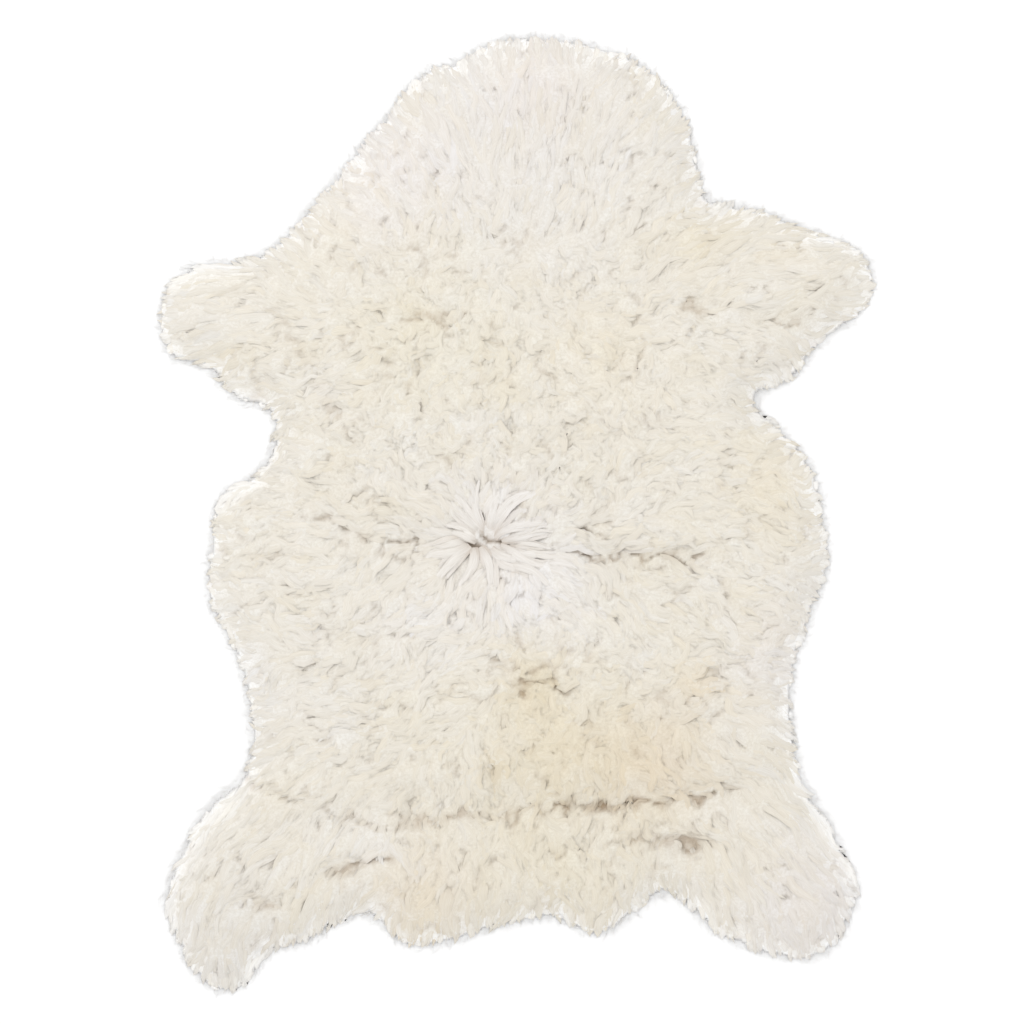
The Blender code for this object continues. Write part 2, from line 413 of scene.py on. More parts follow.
# ---------------------------------------------------------------- surface of the fleece
SUNK = 3.0 * MM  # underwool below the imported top
GROOVE = 0.45 * MM  # spread in height of the grooves between locks
GROOVE_WIDTH = 0.0060
GROOVE_LENGTH = 0.034
FURROW = 0.3 * MM  # spread in height of the finer furrows
FURROW_WIDTH = 0.0034
FURROW_LENGTH = 0.022
LUMP = 1.2 * MM  # spread in height of the swellings
LUMP_WIDTH = 0.018
LOWEST, HIGHEST = -3.5 * MM, 3.0 * MM  # limits of all that relief
CLUMP_WIDTH = 0.019  # of the clumps that creases lie between
CLUMP_FLAT = 15  # slope added to a clump's own, so that creases don't spread on flat ground
CREASE_WIDTH = 2.6 * MM  # half width of the creases
CREASE_LENGTH = 0.017  # a crease comes and goes over this
CREASE_DEPTH = 2.4 * MM
CREASE_GAIN, CREASE_CUT = 1.4, 0.2  # how sharply creases come and go, and how many are cut
CREASE_LINE_PAINTED_SHADE = 0.25  # painted shade along the creases, as a share of that of the deepest partings
WOBBLE = 0.004  # how far partings wander to either side
WOBBLE_LENGTH = 0.012
DARK_DEPTH = 7  # millimetres of depth at which a parting's painted shade is as dark as it gets
PATCH_WIDTH = 0.030  # of the patches of slightly warmer and cooler wool
PATCH_TINT = np.array([0.004, 0.008, 0.020])  # how much they differ in red, green and blue
RIM_WIDTH = 16 * MM  # over which the wool whitens towards its edge, partly with painted light
EDGE_INSET = 2 * MM  # underwool ends this far inside the outline
EDGE_ROUND = 48 * MM  # over this width its rim rounds off
EDGE_BULGE = 0.8  # the smaller, the fuller the rim
EDGE_HEIGHT = 1.5 * MM  # of the underwool at its very edge
STEEPEST = 1.4  # slope up to which strands lean over with the surface under them


def crease_lines(grid, rng):
    """Thin broken valleys between the clumps of wool, as shares from 0 to 1."""
    clumps = grid.noise(CLUMP_WIDTH, rng)
    slope = np.hypot(*np.gradient(clumps, grid.step)) + CLUMP_FLAT
    line = np.exp(-((clumps / slope / CREASE_WIDTH) ** 2))
    gate = CREASE_GAIN * grid.noise(CREASE_LENGTH, rng) - CREASE_CUT
    return line * np.clip(gate, 0, 1)


def nearest_on(xy, start, end):
    """The nearest points, to the points xy, of the straight stretch between two places."""
    a, b = np.array(start) * MM, np.array(end) * MM
    share = np.clip(((xy - a) @ (b - a)) / ((b - a) @ (b - a)), 0, 1)
    return a + share[..., None] * (b - a)


def uphill(fleece, xy):
    """The way, as a unit, from each of some points near the outline towards its inside."""
    nudge = 3 * MM
    slope = [fleece.read("inset", xy + d) - fleece.read("inset", xy - d)
             for d in (np.array([nudge, 0]), np.array([0, nudge]))]
    return np.stack(slope, 1) / (np.hypot(*slope) + 1e-12)[:, None]


class Fleece:
    """Everything about the wool's surface, as fields on one grid."""

    def __init__(self, mesh, edge, rng):
        self.grid, packed, self.inset = packed_fields(mesh, edge)
        grid = self.grid
        self.comb, strength = comb_field(grid, rng)
        grooves = combed_noise(grid, self.comb, GROOVE_WIDTH, GROOVE_LENGTH, rng)
        furrows = combed_noise(grid, self.comb, FURROW_WIDTH, FURROW_LENGTH, rng)
        sideways = np.stack([grid.noise(WOBBLE_LENGTH, rng), grid.noise(WOBBLE_LENGTH, rng)], 2)
        wobble = grid.xy + WOBBLE * sideways
        crease = crease_lines(grid, rng)
        # Painted shade along the creases and partings, darker the deeper they are
        self.hollow = CREASE_LINE_PAINTED_SHADE * crease
        self.gully = crease.copy()
        sunk = CREASE_DEPTH * crease
        for _, start, end, width, depth, _, _ in PARTINGS:
            off = wobble - nearest_on(wobble, start, end)
            share = np.exp(-((np.hypot(off[..., 0], off[..., 1]) / (width * MM)) ** 2))
            sunk = np.maximum(sunk, depth * MM * share)
            self.hollow = np.maximum(self.hollow, share * depth / DARK_DEPTH)
            self.gully = np.maximum(self.gully, share)
        relief = GROOVE * grooves + FURROW * furrows + LUMP * grid.noise(LUMP_WIDTH, rng)
        relief = strength * np.clip(relief, LOWEST, HIGHEST)
        self.plain_top = packed - SUNK
        self.top = self.rounded(packed - SUNK - sunk + relief)
        slopes = np.gradient(self.rounded(packed), grid.step)
        self.slope_x, self.slope_y = np.clip(slopes, -STEEPEST, STEEPEST)
        # Painted shading along the comb: positive in the grooves, where it darkens, and negative
        # on the ridges, where it lightens
        self.painted_groove_shading = np.clip(-grooves * 0.6 - furrows * 0.4, -2, 2)
        self.patch = grid.noise(PATCH_WIDTH, rng)

    def rounded(self, height):
        """A height over the grid, brought down at the rim, and further still beyond it."""
        within = np.clip((self.inset - EDGE_INSET) / EDGE_ROUND, 0, 1)
        share = (within * (2 - within)) ** EDGE_BULGE
        beyond = EDGE_HEIGHT * np.exp(np.minimum(self.inset - EDGE_INSET, 0) / OUTER_FALL)
        inner = EDGE_HEIGHT + (height - EDGE_HEIGHT) * share
        return np.where(self.inset > EDGE_INSET, inner, beyond)

    def read(self, name, xy):
        """Values of one of the fields at points."""
        return self.grid.read(getattr(self, name), xy)

    def heading(self, xy):
        """Which way the wool is combed at points, in radians."""
        return np.arctan2(self.grid.read(self.comb[1], xy), self.grid.read(self.comb[0], xy))

    def up(self, xy):
        """Which way is up out of the fleece, as unit vectors, at points."""
        slope = [self.read("slope_x", xy), self.read("slope_y", xy)]
        size = np.sqrt(1 + slope[0] ** 2 + slope[1] ** 2)
        return np.stack([-slope[0], -slope[1], np.ones_like(size)], -1) / size[..., None]

    def tint(self, xy):
        """Colour of the wool at points, whitened towards its edge partly with painted light, and
        without the painted shade of its hollows.
        """
        colour = np.ones((len(xy), 3)) * WOOL
        for _, x, y, reach, *factor in TINTS:
            off = np.hypot(xy[:, 0] - x * MM, xy[:, 1] - y * MM)
            share = np.exp(-((off / (reach * MM)) ** 2))[:, None]
            colour *= 1 + share * (np.array(factor) - 1)
        colour *= 1 + self.read("patch", xy)[:, None] * PATCH_TINT
        # Towards the edge the colour goes over to the rim's: partly its own paler colour, partly
        # painted light on the shaded rim
        rim = np.exp(-((np.maximum(self.read("inset", xy), 0) / RIM_WIDTH) ** 2))[:, None]
        return colour + rim * (np.array(RIM_WOOL_AND_PAINTED_LIGHT) - colour)


def with_painted_shade(colour, share):
    """Colour with painted shade: gone over, by a share, to the painted shade in the depth of a
    crease.
    """
    return colour * (1 - np.clip(share, 0, 1)[..., None] * (1 - np.array(PAINTED_CREASE_SHADE)))


# ---------------------------------------------------------------- materials
def new_material(name):
    material = bpy.data.materials.new(name)
    material.use_nodes = True
    return material, material.node_tree.nodes, material.node_tree.links


def matt_shader(nodes):
    """The shader of a new material, made matt and a little downy."""
    shader = nodes["Principled BSDF"]
    shader.inputs["Roughness"].default_value = 0.8
    shader.inputs["Specular IOR Level"].default_value = 0.2
    shader.inputs["Sheen Weight"].default_value = 0.8
    shader.inputs["Sheen Roughness"].default_value = 0.6
    return shader


def multiplied(nodes, links, one, other):
    """The output of a node that multiplies two colours."""
    mix = nodes.new("ShaderNodeMix")
    mix.data_type = "RGBA"
    mix.blend_type = "MULTIPLY"
    mix.inputs["Factor"].default_value = 1.0
    links.new(one, mix.inputs["A"])
    links.new(other, mix.inputs["B"])
    return mix.outputs["Result"]


def ramped(nodes, links, value, low, low_colour, high, high_colour):
    """The output of a node that turns a value into a colour between two others."""
    ramp = nodes.new("ShaderNodeValToRGB")
    first, last = ramp.color_ramp.elements
    first.position, last.position = low, high
    first.color, last.color = (*low_colour, 1), (*high_colour, 1)
    links.new(value, ramp.inputs["Fac"])
    return ramp.outputs["Color"]


def noise_at(nodes, links, place, **settings):
    """The output of a noise node with those settings."""
    noise = nodes.new("ShaderNodeTexNoise")
    for name, value in settings.items():
        noise.inputs[name].default_value = value
    links.new(place, noise.inputs["Vector"])
    return noise.outputs["Fac"]


def add_bump(nodes, links, shader, value, strength, distance):
    """Roughen a shader's surface by a value."""
    bump = nodes.new("ShaderNodeBump")
    bump.inputs["Strength"].default_value = strength
    bump.inputs["Distance"].default_value = distance
    links.new(value, bump.inputs["Height"])
    links.new(bump.outputs["Normal"], shader.inputs["Normal"])


SHADED_FIBRE = (0.90, 0.88, 0.845)  # what the tint is multiplied by between fine fibres
LIT_FIBRE = (1.025, 1.025, 1.025)  # and on them


def wool_material(name, coordinates, scale, stretch, height):
    """Matt wool of the mesh's own tint, with fine fibres in its colour and its surface."""
    material, nodes, links = new_material(name)
    shader = matt_shader(nodes)
    tint = nodes.new("ShaderNodeAttribute")
    tint.attribute_name = "tint"
    if coordinates == "fibre":
        source = nodes.new("ShaderNodeUVMap")
        source.uv_map = "fibre"
        place = source.outputs["UV"]
    else:
        source = nodes.new("ShaderNodeTexCoord")
        place = source.outputs["Object"]
    mapping = nodes.new("ShaderNodeMapping")
    mapping.inputs["Scale"].default_value = stretch
    links.new(place, mapping.inputs["Vector"])
    fibres = noise_at(nodes, links, mapping.outputs["Vector"],
                      Scale=scale, Detail=4.0, Roughness=0.6, Distortion=0.4)
    fleck = ramped(nodes, links, fibres, 0.32, SHADED_FIBRE, 0.64, LIT_FIBRE)
    links.new(multiplied(nodes, links, tint.outputs["Color"], fleck), shader.inputs["Base Color"])
    add_bump(nodes, links, shader, fibres, 0.35, height)
    return material


# ---------------------------------------------------------------- making meshes
BRIGHTEST = 0.97  # no wool is whiter than this
LOWEST_POINT = 0.3 * MM  # of any strand above the floor
BEND_ROOM = 0.8  # a strand's half width at most, as a share of its radius at a bend
TIP_LEAN = 0.5  # how far a tip faces ahead
BAKE_MARGIN = 0.15  # round a strand, of its own square in the baked image


def placed(name, data):
    """Data as an object in the scene."""
    obj = bpy.data.objects.new(name, data)
    bpy.context.scene.collection.objects.link(obj)
    return obj


def make_object(name, data, material):
    """A mesh with its material as an object that rides on the part."""
    data.materials.append(material)
    obj = placed(name, data)
    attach(obj, BODY)
    return obj


def as_data(mesh, name):
    """A finished bmesh as mesh data."""
    data = bpy.data.meshes.new(name)
    mesh.to_mesh(data)
    mesh.free()
    return data


def set_tint(data, colour):
    """Give a mesh its own colour at every point, for its material to read."""
    rgba = np.ones((len(colour), 4), np.float32)
    rgba[:, :3] = np.clip(colour, 0, BRIGHTEST)
    attribute = data.attributes.new("tint", "FLOAT_COLOR", "POINT")
    attribute.data.foreach_set("color", rgba.ravel())


UPRIGHT = np.array([0.0, 0.0, 1.0])


def strand_layout(rings, sides):
    """Corners of one strand's faces, how many each face has, and each corner's ring and turn."""
    turns = np.arange(sides)
    corners, sizes, ring_of, turn_of = [], [], [], []
    for ring in range(rings - 2):
        for turn in turns:
            corners += [ring * sides + turn, ring * sides + (turn + 1) % sides]
            corners += [(ring + 1) * sides + (turn + 1) % sides, (ring + 1) * sides + turn]
            ring_of += [ring, ring, ring + 1, ring + 1]
            turn_of += [turn, turn + 1, turn + 1, turn]
            sizes.append(4)
    for turn in turns:
        last = (rings - 2) * sides
        corners += [last + turn, last + (turn + 1) % sides, last + sides]
        ring_of += [rings - 2, rings - 2, rings - 1]
        turn_of += [turn, turn + 1, turn + 0.5]
        sizes.append(3)
    corners += list(turns[::-1])
    ring_of += [0] * sides
    turn_of += list(turns[::-1])
    sizes.append(sides)
    return (np.array(corners), np.array(sizes),
            np.array(ring_of) / (rings - 1), np.array(turn_of) / sides)


def strand_piece(name, plan, z, up, half, flat, sides, tint, material, rng):
    """A piece of closed strands, each tapering to a point along its line (strand, ring, xy).

    z is the line's height, up the way their flat tops face, half their half widths, and flat
    their thickness as a share of their width. The way they are shaded leans up, as light
    goes into wool.
    """
    line = np.concatenate([plan, z[..., None]], 2)
    count, rings = line.shape[:2]
    along = np.gradient(line, axis=1)
    along /= np.linalg.norm(along, axis=2, keepdims=True) + 1e-9
    across = np.cross(up, along)
    across /= np.linalg.norm(across, axis=2, keepdims=True) + 1e-9
    out = np.cross(along, across)
    bend = np.linalg.norm(np.gradient(along, axis=1), axis=2)
    step = np.linalg.norm(np.gradient(line, axis=1), axis=2)
    half = np.minimum(half, BEND_ROOM * step / (bend + 1e-6))
    spoke = math.pi / 2 + 2 * math.pi * np.arange(sides) / sides
    side = np.cos(spoke) * half[..., None]
    rise = np.sin(spoke) * half[..., None] * flat[:, :, None]
    skin = line[:, :, None] + side[..., None] * across[:, :, None]
    skin = skin + rise[..., None] * out[:, :, None]
    verts = np.concatenate([skin[:, :-1].reshape(count, -1, 3), line[:, -1:]], 1)
    verts[..., 2] = np.maximum(verts[..., 2], LOWEST_POINT)
    per = verts.shape[1]

    corners, sizes, ring_of, turn_of = strand_layout(rings, sides)
    loops = (corners + per * np.arange(count)[:, None]).ravel()
    starts = np.concatenate([[0], np.cumsum(np.tile(sizes, count))[:-1]])
    data = bpy.data.meshes.new(name)
    data.vertices.add(count * per)
    data.vertices.foreach_set("co", verts.astype(np.float32).ravel())
    data.loops.add(len(loops))
    data.loops.foreach_set("vertex_index", loops.astype(np.int32))
    data.polygons.add(len(starts))
    data.polygons.foreach_set("loop_start", starts.astype(np.int32))
    data.update(calc_edges=True)
    data.shade_smooth()
    lean = SIDE_LEAN * np.cos(spoke)[:, None] * across[:, :-1, None]
    upper = np.where(np.sin(spoke) > -0.7, 1.0, 0.0)[:, None]
    facing = (2 * upper - 1) * out[:, :-1, None] + lean + UP_LEAN * upper * UPRIGHT
    tips = out + TIP_LEAN * along + UP_LEAN * UPRIGHT
    facing = np.concatenate([facing.reshape(count, -1, 3), tips[:, -1:]], 1)
    facing /= np.linalg.norm(facing, axis=2, keepdims=True)
    data.normals_split_custom_set_from_vertices(facing.reshape(-1, 3))

    length = np.linalg.norm(np.diff(line, axis=1), axis=2).sum(1)[:, None]
    girth = 2 * math.pi * half.max(1)[:, None]
    shift = rng.uniform(0, 100, (2, count, 1))
    fibre = np.stack([turn_of * girth / MM + shift[0], ring_of * length / MM + shift[1]], 2)
    data.uv_layers.new(name="fibre").uv.foreach_set("vector", fibre.astype(np.float32).ravel())
    wide = math.ceil(math.sqrt(count))
    cell = np.stack([np.arange(count) % wide, np.arange(count) // wide], 1)
    inner = BAKE_MARGIN + (1 - 2 * BAKE_MARGIN) * np.stack([turn_of, ring_of], 1)
    place = (cell[:, None] + inner[None]) / wide
    data.uv_layers.new(name="OFBake").uv.foreach_set("vector", place.astype(np.float32).ravel())
    # Painted shade on each strand: none along its top, more down its sides, most along its bottom
    low = (0.5 - 0.5 * np.sin(spoke))[:, None]
    skin_painted_shade = tint[:, :-1, None] * (1 - low * (1 - np.array(UNDERSIDE_PAINTED_SHADE)))
    shade = np.concatenate([skin_painted_shade.reshape(count, -1, 3), tint[:, -1:]], 1)
    set_tint(data, shade.reshape(-1, 3))
    return make_object(name, data, material)


# ---------------------------------------------------------------- underwool
FOOT = 2.2 * MM  # of the underwool above the floor, where the hide lies
FOOT_INSET = 6 * MM  # its foot is drawn in this far under its edge
GROOVE_PAINTED_SHADING = 0.02 * np.array([0.6, 1.0, 1.6])  # painted shading: less red, green and blue in its grooves, and more on the ridges between them


def make_underwool(fleece, material):
    """The dense short wool: the grooved top, a rim and a flat bottom, as one closed mesh."""
    grid, inset = fleece.grid, fleece.inset
    keep = inset > EDGE_INSET
    number = np.full(grid.shape, -1)
    full = keep[:-1, :-1] & keep[1:, :-1] & keep[1:, 1:] & keep[:-1, 1:]
    i, j = np.nonzero(full)
    squares = [(i, j), (i + 1, j), (i + 1, j + 1), (i, j + 1)]
    for a, b in squares:
        number[a, b] = 0
    used = np.nonzero(number == 0)
    number[used] = np.arange(len(used[0]))
    xy, z = grid.xy[used], fleece.top[used]
    faces = np.stack([number[a, b] for a, b in squares], 1)

    mesh = bmesh.new()
    verts = [mesh.verts.new((x, y, h)) for (x, y), h in zip(xy, z)]
    for face in faces:
        mesh.faces.new([verts[k] for k in face])
    rim = [e for e in mesh.edges if e.is_boundary]
    lowered = bmesh.ops.extrude_edge_only(mesh, edges=rim)["geom"]
    skirt = [v for v in lowered if isinstance(v, bmesh.types.BMVert)]
    place = np.array([v.co.to_2d() for v in skirt])
    for v, (dx, dy) in zip(skirt, uphill(fleece, place)):
        v.co.x += dx * FOOT_INSET
        v.co.y += dy * FOOT_INSET
        v.co.z = FOOT
    bottom = [e for e in lowered if isinstance(e, bmesh.types.BMEdge)]
    bmesh.ops.triangle_fill(mesh, edges=bottom, use_beauty=False)
    bmesh.ops.recalc_face_normals(mesh, faces=mesh.faces)
    data = as_data(mesh, "underwool")
    data.shade_smooth()
    xy = np.array([v.co.to_2d() for v in data.vertices])
    # Its colour carries painted shade in the grooves, painted light on the ridges between them,
    # and painted shade in its creases and partings
    shade = fleece.tint(xy) * (1 - fleece.read("painted_groove_shading", xy)[:, None] * GROOVE_PAINTED_SHADING)
    set_tint(data, with_painted_shade(shade, fleece.read("hollow", xy)))
    return make_object("underwool", data, material)


# ---------------------------------------------------------------- strands
SHAKE = 0.38  # spread of strands about an even grid, as a share of their gap
ROOT_INSET = 4 * MM  # strands grow no nearer to the outline
BORDER_SWAY = 0.12  # how unevenly one kind of wool gives way to the next
SIZE_SPREAD = 0.2  # of the lengths and widths of strands, as a share
TIP_INSET = (-0.3, 2.3)  # of tips from the outline, and its spread, in millimetres
CUT_BACK = 1.2  # strands that reach too far lose so many times what is over
SHORTEST = 0.2  # of its length, that a strand keeps
STOPS = (0.3, 0.8)  # strands stop at partings of such depths, as a share of the deepest
OVERHANG = 4 * MM  # tips reach no further beyond the outline
TIP_RINGS = 2  # rings of a strand that may lie beyond the underwool
CALM_WIDTH = 35 * MM  # from the outline, over which strands lie closer to the underwool
CALMEST = 0.35  # of their relief, that strands keep at the outline
RISEN, SINKING = 0.3, 0.6  # shares of its length at which a strand is up, and starts to sink
ROOTED = 0.35  # share of its length that is thinner at its root, and darker there with painted shade
ROOT_GIRTH = 0.7  # of a strand's full thickness, at its root
ROOT_PAINTED_SHADE = 0.03  # painted shade at the root, as a share of that of a crease
HOLLOW_PAINTED_SHADE = 0.6  # of the painted shade of the underwool's hollows, that strands over them take on
WARMTH = 0.012  # spread of how cool or warm single strands are
WARMTH_TINT = np.array([0.0, 0.5, 1.6])  # of it, in red, green and blue


def growth(layer, row):
    """Each column of a layer's table, for strands of those rows of the comb table."""
    kinds = np.array([LAYERS[layer][0][name] for name in KIND_NAMES], float)
    return dict(zip(COLUMNS, kinds[ROW_KIND[row]].T[..., None]))


def scattered(fleece, gap, rng):
    """Points over the pelt in a shaken grid, a gap apart."""
    low, high = cad_box
    rows = np.arange(low.y, high.y, gap * math.sqrt(3) / 2)
    x, y = np.meshgrid(np.arange(low.x, high.x, gap), rows)
    x = x + gap / 2 * (np.arange(len(rows)) % 2)[:, None]
    xy = np.stack([x.ravel(), y.ravel()], 1)
    xy += rng.normal(0, SHAKE, xy.shape) * gap
    return xy[fleece.read("inset", xy) > ROOT_INSET]


def planted(fleece, table, rng):
    """Where strands grow, and the row of the comb table that each belongs to."""
    places, rows = [], []
    for kind, name in enumerate(KIND_NAMES):
        xy = scattered(fleece, table[name][COLUMNS.index("gap")] * MM, rng)
        blur = 1 + BORDER_SWAY * fleece.read("patch", xy)[:, None]
        row = (from_rows(xy) * blur).argmin(1)
        mine = ROW_KIND[row] == kind
        places.append(xy[mine])
        rows.append(row[mine])
    return np.concatenate(places), np.concatenate(rows)


def walk(fleece, root, length, rings, turn):
    """Plan of strands that follow the comb, as points (strand, ring, xy)."""
    step = length[:, None] / (rings - 1)
    points = [root]
    for ring in range(rings - 1):
        angle = fleece.heading(points[-1]) + turn[:, ring]
        points.append(points[-1] + step * np.stack([np.cos(angle), np.sin(angle)], 1))
    return np.stack(points, 1)


def fitted_walk(fleece, root, length, rings, turn, reach, stop):
    """The same, cut short of the outline, and of partings deeper than stop."""
    for _ in range(3):
        line = walk(fleece, root, length, rings, turn)
        over = reach - fleece.read("inset", line[:, -1])
        shorter = np.maximum(length - CUT_BACK * over, SHORTEST * length)
        length = np.where(over > 0, shorter, length)
    gully = fleece.read("gully", line)
    deeper = gully - gully[:, :1] > stop
    first = np.where(deeper.any(1), np.maximum(deeper.argmax(1), 2) / (rings - 1), 1)
    return walk(fleece, root, length * first, rings, turn)


def make_strands(fleece, layer, region, root, row, surface, material, rng):
    """The strands of one layer in one region, as one mesh."""
    _, rings, sides, lift_spread, tone = LAYERS[layer]
    value = growth(layer, row)
    count = len(root)
    t = np.linspace(0, 1, rings)[None]

    phase = rng.uniform(0, 2 * math.pi, (count, 1))
    turn = np.radians(value["scatter"]) * rng.normal(size=(count, 1))
    turn = turn + np.radians(value["sway"]) * np.sin(2 * math.pi * value["waves"] * t + phase)
    turn = turn + np.radians(value["hook"]) * rng.uniform(-1, 1, (count, 1)) * t**1.6
    length = value["length"][:, 0] * MM * rng.lognormal(0, SIZE_SPREAD, count)
    reach = rng.normal(*TIP_INSET, count) * MM
    stop = rng.uniform(*STOPS, (count, 1))
    line = fitted_walk(fleece, root, length, rings, turn, reach, stop)
    inset = fleece.read("inset", line)
    kept = (inset.min(1) > -OVERHANG) & (inset[:, :-TIP_RINGS].min(1) > EDGE_INSET - 0.5 * MM)
    line, root, count = line[kept], root[kept], kept.sum()
    value = {key: column[kept] for key, column in value.items()}

    rise = np.minimum(t / RISEN, 1)
    fall = np.clip((t - SINKING) / (1 - SINKING), 0, 1)
    lift = value["rise"] + rng.normal(0, lift_spread, (count, 1))
    level = -value["root"] * (1 - rise) ** 1.5 + lift * rise - value["dip"] * fall**1.5
    calm = CALMEST + (1 - CALMEST) * np.clip(fleece.read("inset", line) / CALM_WIDTH, 0, 1)
    z = surface(line) + level * calm * MM

    size = rng.lognormal(0, SIZE_SPREAD, (count, 1))
    half = value["width"] * MM / 2 * size * taper(t, blunt=2.4)
    flat = value["thick"] / value["width"] * (0.5 + 0.5 * calm)
    own = rng.normal(1, tone, (count, 1))
    warm = 1 + rng.normal(0, WARMTH, (count, 1)) * WARMTH_TINT
    colour = np.repeat((fleece.tint(root) * own * warm)[:, None], rings, 1)
    # Painted shade at the roots, where they sink into the fleece, and over the hollows under them
    root_shade = ROOT_PAINTED_SHADE * np.clip(1 - t / ROOTED, 0, 1)
    shade = np.maximum(root_shade, HOLLOW_PAINTED_SHADE * fleece.read("hollow", line))
    tint = with_painted_shade(colour, shade)
    return strand_piece(f"{region}_{layer}", line, z, fleece.up(line), half, flat, sides, tint,
                        material, rng)


def taper(t, blunt):
    """Share of the full thickness: thinner at the root, and drawn out to the tip."""
    girth = ROOT_GIRTH + (1 - ROOT_GIRTH) * np.minimum(t / ROOTED, 1)
    return girth * np.sqrt(np.clip(1 - t**blunt, 0, 1))


WHORL_SINK = 0.6  # millimetres that the whole whorl is lowered by
BUNDLE_REACH = 0.36  # of a lock's width, out to the strands at its sides
BUNDLE_HALF = 0.31  # half width of a strand, as the same share
BUNDLE_SHAKE = 0.12  # spread of strands about their places in the bundle
LENGTHS = (0.8, 1.2)  # of a bundle's strands, as a share of its own
SWAY, STRAY = 14, 3  # of their headings, in degrees: in waves, and by chance
SIDE_PAINTED_SHADE = 0.2  # painted shade at a bundle's sides, as a share of a crease's
PIT_PAINTED_SHADE = 0.3  # and painted shade at its root


def bundle_arch(t, place):
    """Height in millimetres along a strand at that place, from -1 to 1, across its bundle."""
    rise = np.minimum(t / RISEN, 1)
    crown = 1.6 * (1 - place**2) * rise * (1 - t**3)
    return 1.4 * rise + crown - 3.0 * (1 - rise) ** 2 - 3.4 * t**2


def make_whorl(fleece, material, rng):
    """The fat locks of the whorl: bundles of strands that arch out of its partings."""
    rows = np.repeat(np.array(WHORL_LOCKS, float), BUNDLE, axis=0)
    x, y, heading, turn, length, width = rows.T
    count, rings, sides = len(x), 12, 6
    t = np.linspace(0, 1, rings)[None]
    place = np.tile(np.linspace(-1, 1, BUNDLE), len(WHORL_LOCKS))[:, None]
    place = place + rng.normal(0, BUNDLE_SHAKE, (count, 1))
    length = length * rng.uniform(*LENGTHS, count)
    step = (length * MM / (rings - 1))[:, None]
    sway = SWAY * np.sin(5 * t + x[:, None] + 0.5 * place) + rng.normal(0, STRAY, (count, 1)) * t
    angle = np.radians(heading[:, None] + turn[:, None] * t + sway)
    plan = np.stack([np.cos(angle), np.sin(angle)], 2) * step[..., None]
    line = np.stack([x, y], 1)[:, None] * MM + np.cumsum(plan, 1) - plan
    spread = 0.45 + 0.55 * np.minimum(t / 0.35, 1) - 0.35 * t**2
    aside = place * (width[:, None] * BUNDLE_REACH) * MM * spread
    line = line + aside[..., None] * np.stack([-np.sin(angle), np.cos(angle)], 2)
    level = fleece.read("plain_top", line) + (bundle_arch(t, place) - WHORL_SINK) * MM
    half = (width * BUNDLE_HALF * MM)[:, None] * rng.lognormal(0, 0.15, (count, 1))
    half = half * taper(t, blunt=2.6)
    own = rng.normal(1, 0.012, (count, 1))
    colour = np.repeat((fleece.tint(line[:, 0]) * own)[:, None], rings, 1)
    # Painted shade at each bundle's root and along its outer strands, where bundles meet
    side = np.clip((abs(place) - 0.6) / 0.4, 0, 1) * (1 - t)
    tint = with_painted_shade(colour, PIT_PAINTED_SHADE * np.clip(1 - t / RISEN, 0, 1) + SIDE_PAINTED_SHADE * side)
    flat = np.full((count, 1), 0.5)
    return strand_piece("whorl_locks", line, level, UPRIGHT, half, flat, sides, tint,
                        material, rng)


def make_layer(fleece, layer, surface, material, rng):
    """All the strands of one layer, a piece for each region, with the whorl left free of locks."""
    xy, row = planted(fleece, LAYERS[layer][0], rng)
    if layer == "locks":
        x, y, wide, deep = np.array(WHORL_ROOM) * MM
        free = ((xy[:, 0] - x) / wide) ** 2 + ((xy[:, 1] - y) / deep) ** 2 > 1
        xy, row = xy[free], row[free]
    pieces = []
    for region, name in enumerate(REGIONS):
        here = ROW_REGION[row] == region
        pieces.append(make_strands(
            fleece, layer, name, xy[here], row[here], surface, material, rng))
    return pieces


FELT_BLUR = 0.1  # of its height, that a point of a wisp takes from each of its neighbours


class Felt:
    """The height of the highest of some pieces, for the wisps that lie on them."""

    def __init__(self, pieces, fleece):
        self.fleece = fleece
        self.trees = []
        for piece in pieces:
            data = piece.data
            co = np.zeros(len(data.vertices) * 3, np.float32)
            data.vertices.foreach_get("co", co)
            faces = [tuple(face.vertices) for face in data.polygons]
            co = co.reshape(-1, 3)
            low, high = co.min(0), co.max(0)
            self.trees.append((BVHTree.FromPolygons(co.tolist(), faces), low, high))

    def __call__(self, line):
        xy = line.reshape(-1, 2)
        z = self.fleece.read("top", xy)
        down = Vector((0, 0, -1))
        for tree, low, high in self.trees:
            inside = np.nonzero(((xy > low[:2]) & (xy < high[:2])).all(1))[0]
            for k in inside:
                hit = tree.ray_cast(Vector((xy[k, 0], xy[k, 1], 0.2)), down)[0]
                if hit is not None and hit.z > z[k]:
                    z[k] = hit.z
        z = z.reshape(line.shape[:2])
        padded = np.pad(z, ((0, 0), (1, 1)), mode="edge")
        ends = FELT_BLUR * padded[:, :-2] + FELT_BLUR * padded[:, 2:]
        return ends + (1 - 2 * FELT_BLUR) * z


# ---------------------------------------------------------------- fringe
FRINGE_GAP = 1.2 * MM  # from one fibre to the next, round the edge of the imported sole
FRINGE_ROOTS = (-8, 0)  # inward from that edge, in millimetres: so up to 8 outward
FRINGE_LENGTH = (7, 18)  # in millimetres
FRINGE_HALF = 0.13 * MM  # half width
FRINGE_OUTWARD = 1.1  # how strongly they turn outward, where following the comb is 1
FRINGE_SCATTER, FRINGE_CURL = 0.4, 0.6  # of their headings at the root and the tip, in radians
FRINGE_REACH = (2.2, 1.9)  # shape and scale of how far tips stand out, in millimetres
FRINGE_FURTHEST = 9.5  # the most that they do
FRINGE_RISE = (1.5, 3)  # millimetres they rise at most: evenly, and towards their tips


